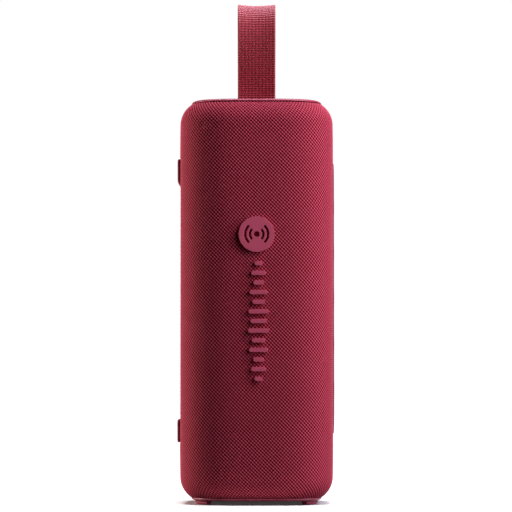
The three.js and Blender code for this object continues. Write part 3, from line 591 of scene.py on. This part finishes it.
def stroke(points):
    """A raised round-ended line through 2-D points, standing on z = 0."""
    points = [Vector(p) for p in points]
    left, right = [], []
    for i, p in enumerate(points):
        ahead = points[min(i + 1, len(points) - 1)] - points[max(i - 1, 0)]
        side = Vector((-ahead.y, ahead.x)).normalized() * MARK_LINE / 2
        left.append(p + side)
        right.append(p - side)
    outline = left + round_end(points[-1], left[-1] - points[-1])
    outline += right[::-1] + round_end(points[0], right[0] - points[0])
    made = plate("stroke", [[tuple(p) for p in reversed(outline)]], MARK_HEIGHT, 0.08 * MM)
    return place(made, Matrix.Translation((0, 0, MARK_HEIGHT)))


def arc_points(radius, start, stop, steps=16):
    angles = np.radians(np.linspace(start, stop, steps))
    return [(radius * math.cos(a), radius * math.sin(a)) for a in angles]


# The lines of each key's generic mark, in mm, with up along +Y.
MARKS = {
    "power": [arc_points(2.0, 125, 415), [(0, 0.6), (0, 2.3)]],
    "pair": [
        arc_points(1.4, 45, 135),
        arc_points(2.6, 45, 135),
        arc_points(1.4, 225, 315),
        arc_points(2.6, 225, 315),
        [(-0.25, 0), (0.25, 0)],
    ],
    "volume_down": [[(-2, 0), (2, 0)]],
    "play": [
        [(-2.2, -1.6), (-2.2, 1.6), (0.3, 0), (-2.2, -1.6)],
        [(1.3, -1.5), (1.3, 1.5)],
        [(2.3, -1.5), (2.3, 1.5)],
    ],
    "volume_up": [[(-2, 0), (2, 0)], [(0, 0.3), (0, 2)], [(0, -0.3), (0, -2)]],
}


def icon(name):
    """A key's mark, about 5 mm across, standing on z = 0."""
    made = join(name + "_icon", [stroke([(x * MM, y * MM) for x, y in line]) for line in MARKS[name]])
    smooth_by_angle(made)
    return made


def button(name):
    """A round key with a slightly dished crown, and its raised mark."""
    low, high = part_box(name + "_button")
    depth = (high.x - low.x) / MM
    crown = [(KEY_RADIUS + across, depth + up) for across, up in KEY_CROWN]
    profile = [(0, 0), (KEY_RADIUS, 0), *crown, (0, depth - 0.28)]
    key = lathe(name + "_key_cap", [(r * MM, h * MM) for r, h in profile], 72)
    smooth_by_angle(key, 50)
    middle = middle_height(name + "_button")
    place(key, facing((1, 0, 0), (low.x, 0, middle)))
    mark = place(icon(name), facing((1, 0, 0), (high.x - 0.32 * MM, 0, middle)))
    return key, mark


# ---------- Badge and motif ----------
MOTIF_BARS = [0.4, 0.72, 0.52, 0.9, 0.64, 1.0, 0.78, 0.96, 0.6, 0.86, 0.5, 0.7, 0.38]  # shares of its width
BAR_WIDTH = 2.3 * MM


def arc_slot(radius, half_width, start, stop):
    """A slot's outline along an arc about the origin, in mm and degrees."""
    there = arc_points(radius + half_width, start, stop, 24)
    back = arc_points(radius - half_width, start, stop, 24)[::-1]
    return [(x * MM, y * MM) for x, y in there + back]


def badge():
    """A round badge cut through with a dot between two pairs of arcs, a plain sign for sound."""
    low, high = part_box("badge_disc")
    outlines = [circle_outline((high.x - low.x) / 2, steps=120), circle_outline(1.5 * MM)]
    for middle in (0, 180):
        for radius in (3.5, 5.9):
            outlines.append(arc_slot(radius, 0.6, middle - 48, middle + 48))
    made = plate("round_badge", outlines, 1.4 * MM, 0.12 * MM)
    return place(made, facing((0, -1, 0), (0, low.y, (low.z + high.z) / 2)))


def motif():
    """The level-meter bars that run down the front, each a round-ended bar with a soft edge."""
    low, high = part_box("badge_motif")
    pitch = (high.z - low.z - BAR_WIDTH) / (len(MOTIF_BARS) - 1)
    middle = (low.x + high.x) / 2
    parts = []
    for i, share in enumerate(MOTIF_BARS):
        half = max(BAR_WIDTH, share * (high.x - low.x)) / 2
        outline = rounded_outline(half, BAR_WIDTH / 2, BAR_WIDTH / 2 - 0.01 * MM)
        bar = plate("bar", [outline], 1.6 * MM, 0.22 * MM)
        parts.append(place(bar, facing((0, -1, 0), (middle, low.y, low.z + BAR_WIDTH / 2 + i * pitch))))
    made = join("raised_motif", parts)
    smooth_by_angle(made, 40)
    return made


# ---------- Strap ----------
# One side of the loop's centreline from under the bar to near its top: Y, and height above the bar, in mm.
STRAP_SIDE = [(0, -2.6), (1.87, -1.82), (2.6, 0.3), (2.7, 5), (3.5, 10), (5.8, 16), (9.0, 22.5), (12.2, 29),
              (14.6, 35.5), (15.5, 42), (13.9, 48.4), (9.4, 52.9), (4.6, 54.6)]
STRAP_TOP = (0, 55)


def strap_line():
    """The loop's centreline at equal steps: Y, Z, outward normals, how sharply it bends, and its length."""
    knots = np.array([*STRAP_SIDE, STRAP_TOP, *[(-y, z) for y, z in STRAP_SIDE[:0:-1]]]) * MM
    smooth = round_average(smooth_loop(knots), 15)
    lengths = np.hypot(*(np.roll(smooth, -1, 0) - smooth).T)
    along = np.concatenate([[0], np.cumsum(lengths)])
    closed = np.concatenate([smooth, smooth[:1]])
    steps = round(along[-1] / RIB_PITCH) * RIB_SAMPLES
    at = np.linspace(0, along[-1], steps, endpoint=False)
    y, z = np.interp(at, along, closed[:, 0]), np.interp(at, along, closed[:, 1])
    tangent = np.stack([np.roll(y, -1) - np.roll(y, 1), np.roll(z, -1) - np.roll(z, 1)], -1)
    tangent /= np.linalg.norm(tangent, axis=1, keepdims=True)
    normal = np.stack([tangent[:, 1], -tangent[:, 0]], -1)
    step = along[-1] / steps
    bend = np.linalg.norm(np.roll(tangent, -3, 0) - np.roll(tangent, 3, 0), axis=1) / (6 * step)
    bend = round_average(bend, round(4 * MM / step))
    return y, z + middle_height("strap_bar"), normal, bend, along[-1]


def round_average(values, reach):
    """Averages each value of a closed run with its neighbours, up to reach places away, twice."""
    for _ in range(2):
        values = sum(np.roll(values, shift, 0) for shift in range(-reach, reach + 1)) / (2 * reach + 1)
    return values


def smooth_loop(knots, per_span=40):
    """A Catmull-Rom curve through a closed loop of knots."""
    points = []
    count = len(knots)
    for i in range(count):
        p0, p1, p2, p3 = (knots[(i + k - 1) % count] for k in range(4))
        for t in np.linspace(0, 1, per_span, endpoint=False):
            points.append(0.5 * (2 * p1 + (p2 - p0) * t + (2 * p0 - 5 * p1 + 4 * p2 - p3) * t * t
                                 + (3 * p1 - p0 - 3 * p2 + p3) * t**3))
    return np.array(points)


def strap_section(width, thickness, across=44, edge=4):
    """The webbing's section: x, offset from the middle, and how much weave shows, from 0 on its edges."""
    depth = thickness / 2
    bulge = 0.8 * depth  # how far each rounded edge stands out
    half = width / 2 - bulge
    x_outer = np.linspace(-half, half, across)
    angles = np.linspace(math.pi / 2, -math.pi / 2, edge + 2)[1:-1]
    round_x = half + bulge * np.cos(angles)
    round_n = depth * np.sin(angles)
    x = np.concatenate([x_outer, round_x, x_outer[::-1], -round_x])
    n = np.concatenate([np.full(across, depth), round_n, np.full(across, -depth), -round_n])
    weave = np.concatenate([np.ones(across), np.full(edge, 0.3), np.ones(across), np.full(edge, 0.3)])
    return x, n, weave


def webbing_strap():
    """The loop of ribbed webbing, whose edges lift a little over the bend at its top."""
    y, z, normal, bend, length = strap_line()
    low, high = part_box("carry_strap")
    width = high.x - low.x
    x, n, weave = strap_section(width, WEBBING_THICKNESS)
    rows, columns = len(y), len(x)
    rib = np.arange(rows)[:, None] / RIB_SAMPLES
    yarn = x[None, :] / YARN_PITCH
    relief = RIB_RELIEF * np.cos(2 * math.pi * rib) + YARN_RELIEF * np.cos(2 * math.pi * yarn)
    curl = WEBBING_CURL * np.clip(bend * CURL_RADIUS, 0, 1)[:, None] * (2 * x[None, :] / width) ** 2
    offset = n[None, :] + np.sign(n)[None, :] * relief * weave[None, :] + curl
    points = np.stack([np.broadcast_to(x, (rows, columns)), y[:, None] + normal[:, :1] * offset,
                       z[:, None] + normal[:, 1:] * offset], -1)
    quads = grid_quads(rows, columns, wrap_rows=True)[:, ::-1]
    corner_row, corner_column = np.divmod(quads, columns)
    in_last_row = corner_row.max(1, keepdims=True) == rows - 1
    corner_row = np.where((corner_row == 0) & in_last_row, rows, corner_row)
    uv = np.stack([x[corner_column] / YARN_PITCH, corner_row / RIB_SAMPLES], -1)
    made = mesh_object("webbing_strap", points, quads, uv=uv.reshape(-1, 2))
    return made


def strap_bar():
    """The steel bar across the well, with chamfered ends."""
    low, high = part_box("strap_bar")
    half = (high.x - low.x) / 2 / MM
    radius = (high.z - low.z) / 2 / MM
    profile = [(0, -half), (radius - 0.25, -half), (radius, -half + 0.25), (radius, half - 0.25),
               (radius - 0.25, half), (0, half)]
    made = lathe("steel_strap_bar", [(r * MM, h * MM) for r, h in profile], 40)
    smooth_by_angle(made)
    return place(made, facing((1, 0, 0), (0, 0, (low.z + high.z) / 2)))


# ---------- Port cover ----------
def port_cover():
    """The flap over the port: its lid, the plug behind the lid and a small ridge to pull it by."""
    low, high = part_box("port_cover")
    face_y = high.y - 0.4 * MM
    port_z = 33.5 * MM
    halves = (high.x - low.x) / 2, (high.z - low.z) / 2
    lid = plate("lid", [rounded_outline(*halves, 2.4 * MM)], 2.0 * MM, 0.5 * MM)
    place(lid, facing((0, 1, 0), (0, face_y, (low.z + high.z) / 2)))
    plug = plate("plug", [rounded_outline(9 * MM, 3.5 * MM, 1.2 * MM)], 2.4 * MM, 0.4 * MM)
    place(plug, facing((0, 1, 0), (0, face_y - 2.0 * MM, port_z)))
    grip = plate("grip", [rounded_outline(4 * MM, 0.6 * MM, 0.55 * MM)], 0.9 * MM, 0.2 * MM)
    place(grip, facing((0, 1, 0), (0, high.y, high.z - 2.0 * MM)))
    made = join("port_cover_flap", [lid, plug, grip])
    smooth_by_angle(made)
    return made


# ---------- Materials ----------
class Shader:
    """A material's node tree, with short calls that make and link nodes."""

    def __init__(self, name):
        self.material = bpy.data.materials.new(name)
        self.material.use_nodes = True
        self.tree = self.material.node_tree
        self.surface = self.tree.nodes["Principled BSDF"]

    def node(self, kind, inputs=(), **settings):
        made = self.tree.nodes.new(kind)
        for key, value in settings.items():
            setattr(made, key, value)
        for key, value in dict(inputs).items():
            self.feed(made.inputs[key], value)
        return made

    def feed(self, socket, value):
        if isinstance(value, bpy.types.NodeSocket):
            self.tree.links.new(value, socket)
        else:
            socket.default_value = value

    def math(self, operation, *values):
        return self.node("ShaderNodeMath", dict(enumerate(values)), operation=operation).outputs[0]

    def ramp(self, value, low, high):
        """Goes from 0 to 1, smoothly, as value goes from low to high."""
        made = self.node("ShaderNodeMapRange", {"Value": value, "From Min": low, "From Max": high},
                         interpolation_type="SMOOTHSTEP")
        return made.outputs["Result"]

    def mix(self, share, first, second):
        """Blends two colours. The node's colour sockets are its inputs 6 and 7 and its output 2."""
        made = self.node("ShaderNodeMix", data_type="RGBA")
        self.feed(made.inputs["Factor"], share)
        self.feed(made.inputs[6], (*first, 1) if isinstance(first, tuple) else first)
        self.feed(made.inputs[7], (*second, 1) if isinstance(second, tuple) else second)
        return made.outputs[2]

    def noise(self, scale, detail):
        """Noise over the piece's own coordinates; scale counts features per metre."""
        at = self.node("ShaderNodeTexCoord").outputs["Object"]
        made = self.node("ShaderNodeTexNoise", {"Vector": at, "Scale": scale, "Detail": detail})
        return made.outputs["Fac"]

    def weave(self):
        """How many of the weave's repeats lie across and up to a point."""
        repeats = self.node("ShaderNodeUVMap", uv_map="Weave").outputs[0]
        split = self.node("ShaderNodeSeparateXYZ", {0: repeats})
        return split.outputs[0], split.outputs[1]

    def wave(self, repeats):
        """Goes from 1 to -1 and back in each repeat."""
        return self.math("COSINE", self.math("MULTIPLY", repeats, 2 * math.pi))

    def weigh(self, first, first_share, second, second_share):
        """The weighted sum of two values."""
        first = self.math("MULTIPLY", first, first_share)
        return self.math("ADD", first, self.math("MULTIPLY", second, second_share))

    def bump(self, height, distance, strength):
        made = self.node("ShaderNodeBump", {"Height": height, "Distance": distance, "Strength": strength})
        self.feed(self.surface.inputs["Normal"], made.outputs[0])

    def set(self, **values):
        for key, value in values.items():
            self.feed(self.surface.inputs[key.replace("_", " ")], value)


def knit_material():
    """Crimson knitted mesh: slanting yarns that catch the light, their colour paled as painted sheen, and
    painted shade in the diamond openings between them.
    """
    s = Shader("knit_mesh")
    across, up = s.weave()
    ridge = s.wave(s.math("ADD", across, up))
    other = s.wave(s.math("SUBTRACT", across, up))
    fibre = s.math("SUBTRACT", s.noise(3800, 2), 0.5)
    height = s.weigh(ridge, KNIT_YARNS[0], other, KNIT_YARNS[1])
    height = s.math("ADD", height, s.math("MULTIPLY", fibre, 0.35))
    # The yarns' own crimson, paled towards pink as a painted sheen.
    yarn = s.mix(s.noise(60, 3), (0.58, 0.084, 0.134), (0.65, 0.098, 0.157))
    # The colour falls to a near-black red where the relief is low: painted shade in the openings.
    shade = s.ramp(height, -0.27, 0.44)
    s.set(Base_Color=s.mix(shade, (0.175, 0.0, 0.003), yarn))
    s.set(Roughness=0.70, Specular_IOR_Level=0.06, Specular_Tint=(1.0, 0.4, 0.5, 1))
    s.bump(height, 0.10 * MM, 0.7)
    return s.material


def webbing_material():
    """Ribbed crimson webbing with a slight sheen, and painted shade between its ribs and yarns."""
    s = Shader("webbing")
    across, up = s.weave()
    height = s.weigh(s.wave(up), 0.66, s.wave(across), 0.34)
    fibre = s.math("MULTIPLY", s.noise(4200, 2), 0.05)
    # Darker between the ribs and yarns: painted shade in the webbing's grooves.
    shade = s.ramp(s.math("ADD", height, fibre), -0.85, 0.80)
    s.set(Base_Color=s.mix(shade, (0.19, 0.004, 0.011), (0.42, 0.023, 0.041)))
    s.set(Roughness=0.50, Specular_IOR_Level=0.38)
    s.set(Sheen_Weight=0.5, Sheen_Roughness=0.5, Sheen_Tint=(1.0, 0.6, 0.68, 1))
    s.bump(height, 0.06 * MM, 0.8)
    return s.material


def moulded(name, colour, roughness, grain=9000, depth=0.012, coat=0.0, metal=0.0, gloss=0.5, clouding=0.12):
    """Moulded or machined stock: a slightly clouded colour, and a fine grain in its gloss and surface.

    grain counts features per metre, and depth is in mm.
    """
    s = Shader(name)
    darker = tuple(c * (1 - clouding) for c in colour)
    fine = s.noise(grain, 3)
    s.set(Base_Color=s.mix(s.noise(45, 3), darker, colour))
    s.set(Roughness=s.math("ADD", roughness - 0.06, s.math("MULTIPLY", fine, 0.12)))
    s.set(Metallic=metal, Coat_Weight=coat, Specular_IOR_Level=gloss)
    s.bump(fine, depth * MM, 0.6)
    return s.material


def give(obj, material):
    """Gives a piece its material."""
    obj.data.materials.clear()
    obj.data.materials.append(material)


# ---------- Camera, lights and floor ----------
CAMERA_AT = Vector((-0.3 * MM, -1.540, 0.070))
CAMERA_AIM = Vector((-0.3 * MM, 0, 0.1307))
SENSOR_WIDTH = 36  # in mm
LENS = 204.2

WARM = (1.0, 0.94, 0.86)
COOL = (1.0, 0.98, 1.12)

# Each soft box's bearing from the front towards +X and elevation, in degrees, its distance from the
# middle of the body and its two sides, in metres, its power in watts and its colour.
SOFT_BOXES = {
    "key_right": (75, 5, 1.4, (0.35, 0.8), 11.0, COOL),
    "fill_right": (45, 5, 1.4, (0.35, 0.8), 3.1, COOL),
    "high_right": (60, 40, 0.6, (0.3, 0.3), 2.6, COOL),
    "rim_left": (-102, 2, 1.4, (0.25, 0.9), 16.2, WARM),
    "rim_low_left": (-98, -6, 1.0, (0.25, 0.5), 8.5, WARM),
    "top": (180, 78, 0.45, (0.3, 0.3), 1.4, COOL),
    "trim_high": (35, 72, 0.5, (0.35, 0.35), 0.6, COOL),
}
BODY_MIDDLE = Vector((0, 0, 0.11))
TRIM = ("satin_top_cap", "webbing_strap")  # the only pieces that trim_high lights

WORLD_LIGHT = 0.008  # how strongly the world lights the scene; the camera sees it as white
FLOOR_REACH = 3.0  # half the floor's side
SHADOW_TONE = 0.035  # light of the floor's own, which keeps its shadows grey


def make_camera():
    data = bpy.data.cameras.new("camera")
    data.sensor_width = SENSOR_WIDTH
    data.lens = LENS
    data.clip_end = 20
    camera = add("camera", data)
    camera.location = CAMERA_AT
    camera.rotation_euler = (CAMERA_AIM - CAMERA_AT).to_track_quat("-Z", "Y").to_euler()
    bpy.context.scene.camera = camera


def area_light(name, size, power):
    """A rectangular lamp."""
    data = bpy.data.lights.new(name, "AREA")
    data.shape = "RECTANGLE"
    data.size, data.size_y = size
    data.energy = power
    return add(name, data)


def soft_box(name, bearing, elevation, distance, size, power, colour):
    """A lamp that faces the middle of the body."""
    light = area_light(name, size, power)
    light.data.color = colour
    turn, lift = math.radians(bearing), math.radians(elevation)
    away = Vector((math.sin(turn) * math.cos(lift), -math.cos(turn) * math.cos(lift), math.sin(lift)))
    light.location = BODY_MIDDLE + away * distance
    light.rotation_euler = (-away).to_track_quat("-Z", "Y").to_euler()
    return light


def light_only(light, name, pieces):
    """Makes a light fall on these pieces and on nothing else."""
    receivers = bpy.data.collections.new(name)
    for piece in pieces:
        receivers.objects.link(piece)
    light.light_linking.receiver_collection = receivers


def floor_glow():
    """The light that a pale floor throws back up on the foot of the body."""
    light = area_light("floor_glow", (0.070, 0.008), 0.0017)
    light.location = (0, -0.041, 0.001)
    light.rotation_euler = (math.radians(180), 0, 0)
    light.visible_camera = False


def make_lights():
    lights = {name: soft_box(name, *settings) for name, settings in SOFT_BOXES.items()}
    light_only(lights["trim_high"], "trim_only", [bpy.data.objects[name] for name in TRIM])
    floor_glow()


def make_world():
    """White where the camera sees it, and almost dark as a light, so that the lamps do the shading."""
    world = bpy.data.worlds.new("studio")
    bpy.context.scene.world = world
    world.use_nodes = True
    nodes, links = world.node_tree.nodes, world.node_tree.links
    background = nodes["Background"]
    sight = nodes.new("ShaderNodeLightPath")
    strength = nodes.new("ShaderNodeMapRange")
    strength.inputs["To Min"].default_value = WORLD_LIGHT
    strength.inputs["To Max"].default_value = 1.0
    links.new(sight.outputs["Is Camera Ray"], strength.inputs["Value"])
    links.new(strength.outputs[0], background.inputs["Strength"])
    background.inputs["Color"].default_value = (1, 1, 1, 1)


def floor_material():
    pale = moulded("pale_floor", (0.92, 0.92, 0.92), 0.6, clouding=0.02)
    shader = pale.node_tree.nodes["Principled BSDF"]
    shader.inputs["Emission Color"].default_value = (1, 1, 1, 1)
    shader.inputs["Emission Strength"].default_value = SHADOW_TONE
    return pale


def make_floor():
    """The pale floor. Matt surfaces get no light back from it; floor_glow stands in for that."""
    corners = [(-1, -1, 0), (1, -1, 0), (1, 1, 0), (-1, 1, 0)]
    floor = mesh_object("pale_floor", np.array(corners) * FLOOR_REACH, [(0, 1, 2, 3)])
    floor.data.materials.append(floor_material())
    floor.visible_diffuse = False
    return floor


def light_floor(floor):
    """A soft light from nearly overhead for the floor alone. It leaves only the body's shadow grey."""
    data = bpy.data.lights.new("floor_wash", "SUN")
    data.energy = 4.5
    data.angle = math.radians(40)
    light = add("floor_wash", data)
    light.rotation_euler = (math.radians(14), 0, 0)
    light_only(light, "floor_only", [floor])


# ---------- Assembly ----------
def settle(obj, material, slot, body, *nodes):
    """Gives a piece its material and its body, and hides the CAD nodes that it stands for. slot is not used.
    """
    give(obj, material)
    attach(obj, body)
    if nodes:
        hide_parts(*nodes)


make_camera()
bpy.context.scene.view_settings.view_transform = "Standard"

cap_plastic = moulded("cap_plastic", (0.360, 0.028, 0.066), 0.43, depth=0.004)
soft_touch = moulded("soft_touch", (0.230, 0.022, 0.046), 0.60, depth=0.02, gloss=0.22)
foot_rubber = moulded("foot_rubber", (0.370, 0.055, 0.095), 0.66, depth=0.02, gloss=0.18)
badge_plastic = moulded("badge_plastic", (0.64, 0.095, 0.165), 0.50, depth=0.006, gloss=0.3)
icon_paint = moulded("icon_paint", (0.62, 0.36, 0.40), 0.5)
steel = moulded("steel", (0.62, 0.62, 0.64), 0.32, grain=2500, metal=1.0)

settle(knit_sleeve(), knit_material(), "knit_mesh", "cabinet", "fabric_sleeve")
settle(webbing_strap(), webbing_material(), "webbing", "strap", "carry_strap")
settle(strap_bar(), steel, "steel", "cabinet", "strap_bar")
settle(top_cap(), cap_plastic, "cap_plastic", "cabinet", "top_end_cap")
settle(bottom_cap(), cap_plastic, "cap_plastic", "cabinet", "bottom_end_cap")
settle(end_foot(-1), foot_rubber, "foot_rubber", "cabinet", "end_foot_left")
settle(end_foot(1), foot_rubber, "foot_rubber", "cabinet", "end_foot_right")
settle(foot_rail(), soft_touch, "cap_plastic", "cabinet", "side_foot_plate")
for foot, slope in (("side_foot_lower", 0), ("side_foot_upper", -1)):
    settle(side_foot("rubber_" + foot, foot, slope), foot_rubber, "foot_rubber", "cabinet", foot)
settle(control_panel(), soft_touch, "soft_touch", "cabinet", "control_panel")
for button_name in BUTTONS:
    key, mark = button(button_name)
    settle(key, soft_touch, "soft_touch", button_name + "_key", button_name + "_button")
    settle(mark, icon_paint, "soft_touch", button_name + "_key")
settle(badge(), badge_plastic, "badge_plastic", "cabinet", "badge_disc")
settle(motif(), badge_plastic, "badge_plastic", "cabinet", "badge_motif")
settle(port_cover(), soft_touch, "soft_touch", "port_flap", "port_cover")

NODE_MATERIALS = {
    "black_plastic": moulded("black_plastic", (0.012, 0.012, 0.013), 0.55, depth=0.02),
    "dark_rubber": moulded("dark_rubber", (0.010, 0.010, 0.011), 0.7, depth=0.03),
    "soft_touch": soft_touch,
    "steel": steel,
    "ferrite": moulded("ferrite", (0.030, 0.030, 0.033), 0.5, depth=0.03),
    "circuit_board": moulded("circuit_board", (0.015, 0.10, 0.05), 0.45, grain=1800),
    "cone_pulp": moulded("cone_pulp", (0.020, 0.020, 0.022), 0.8, grain=3000, depth=0.04),
    "cell_wrap": moulded("cell_wrap", (0.03, 0.11, 0.28), 0.35, coat=0.3),
    "wire": moulded("wire", (0.25, 0.01, 0.01), 0.45, coat=0.2),
    "clear_lens": moulded("clear_lens", (0.75, 0.75, 0.78), 0.15, coat=0.5),
}
for part in frame["record"]["subparts"]:
    node = frame["nodes"][part["node"]]
    if not node.hide_render:
        give(node, NODE_MATERIALS[part["material_slot"]])

make_lights()
make_world()
light_floor(make_floor())
